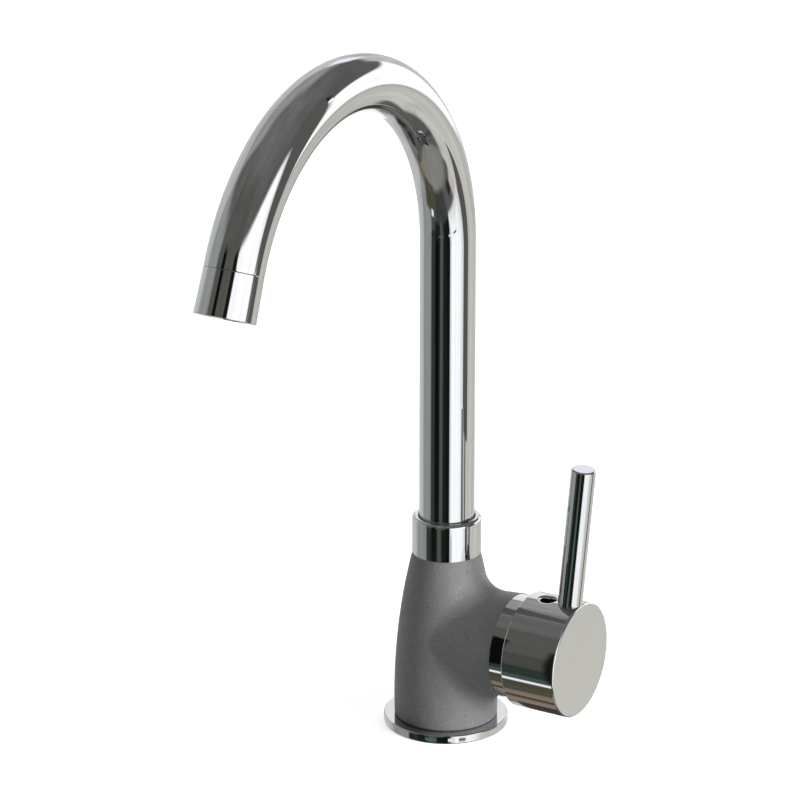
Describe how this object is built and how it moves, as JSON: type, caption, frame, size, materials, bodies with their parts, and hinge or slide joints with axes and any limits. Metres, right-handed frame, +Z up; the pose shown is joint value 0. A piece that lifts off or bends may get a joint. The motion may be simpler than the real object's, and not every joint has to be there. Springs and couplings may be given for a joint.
{
  "type": "mixer tap",
  "caption": "Deck-mounted mixer tap: stone-effect body, chrome swan-neck swivel spout with aerator, and a side knob with a pin lever over a ceramic disc cartridge.",
  "frame": {"origin": "centre of the base ring's underside, on the deck", "axes": "+Z up, -Y towards the spout's mouth, +X along the handle's axis towards the knob"},
  "size_m": [0.1099, 0.2345, 0.3526],
  "materials": {
    "stone_coat": "matt grey coat with fine dark and light specks on a brass casting",
    "chrome": "mirror-polished plating on brass",
    "brass": "turned",
    "steel": "turned stainless steel",
    "wire": "woven stainless wire",
    "seal_rubber": "moulded",
    "acetal": "moulded, natural white",
    "alumina": "lapped"
  },
  "bodies": {
    "standing_body": {"base_ring": "chrome", "base_gasket": "seal_rubber", "body_casting": "stone_coat", "spout_nut": "chrome", "lower_glide_ring": "acetal", "upper_glide_ring": "acetal", "cartridge_base": "acetal", "cartridge_base_seals": "seal_rubber", "port_seals": "seal_rubber", "fixed_disc": "alumina", "cartridge_housing": "acetal", "cartridge_nut": "brass", "cover_ring": "chrome"},
    "spout": {"spout_spigot": "brass", "spigot_seals": "seal_rubber", "spout_tube": "chrome", "aerator_housing": "chrome", "aerator_washer": "seal_rubber", "aerator_insert": "acetal", "aerator_mesh": "wire"},
    "carrier": {"spindle_carrier": "acetal", "carrier_seal": "seal_rubber", "pivot_pin": "steel"},
    "disc": {"moving_disc": "alumina", "disc_driver": "acetal"},
    "handle": {"lever_stem": "steel", "handle_knob": "chrome", "handle_pin": "chrome", "grub_screw": "steel"}
  },
  "joints": [
    {"name": "spout_swivel", "type": "hinge", "parent": "standing_body", "child": "spout", "pos_m": [0, 0, 0.0889], "axis": [0, 0, 1], "continuous": true},
    {"name": "handle_turn", "type": "hinge", "parent": "standing_body", "child": "carrier", "pos_m": [0.031, 0, 0.0474], "axis": [1, 0, 0], "range_deg": [-50, 50]},
    {"name": "handle_tilt", "type": "hinge", "parent": "carrier", "child": "handle", "pos_m": [0.031, 0, 0.0474], "axis": [0, 1, 0], "range_deg": [0, 25]},
    {"name": "disc_slide", "type": "slide", "parent": "carrier", "child": "disc", "axis": [0, 0, 1], "range_m": [0, 0.0034]}
  ],
  "couplings": [
    {"joint": "disc_slide", "follows": "handle_tilt", "m_per_rad": 0.0077486}
  ]
}
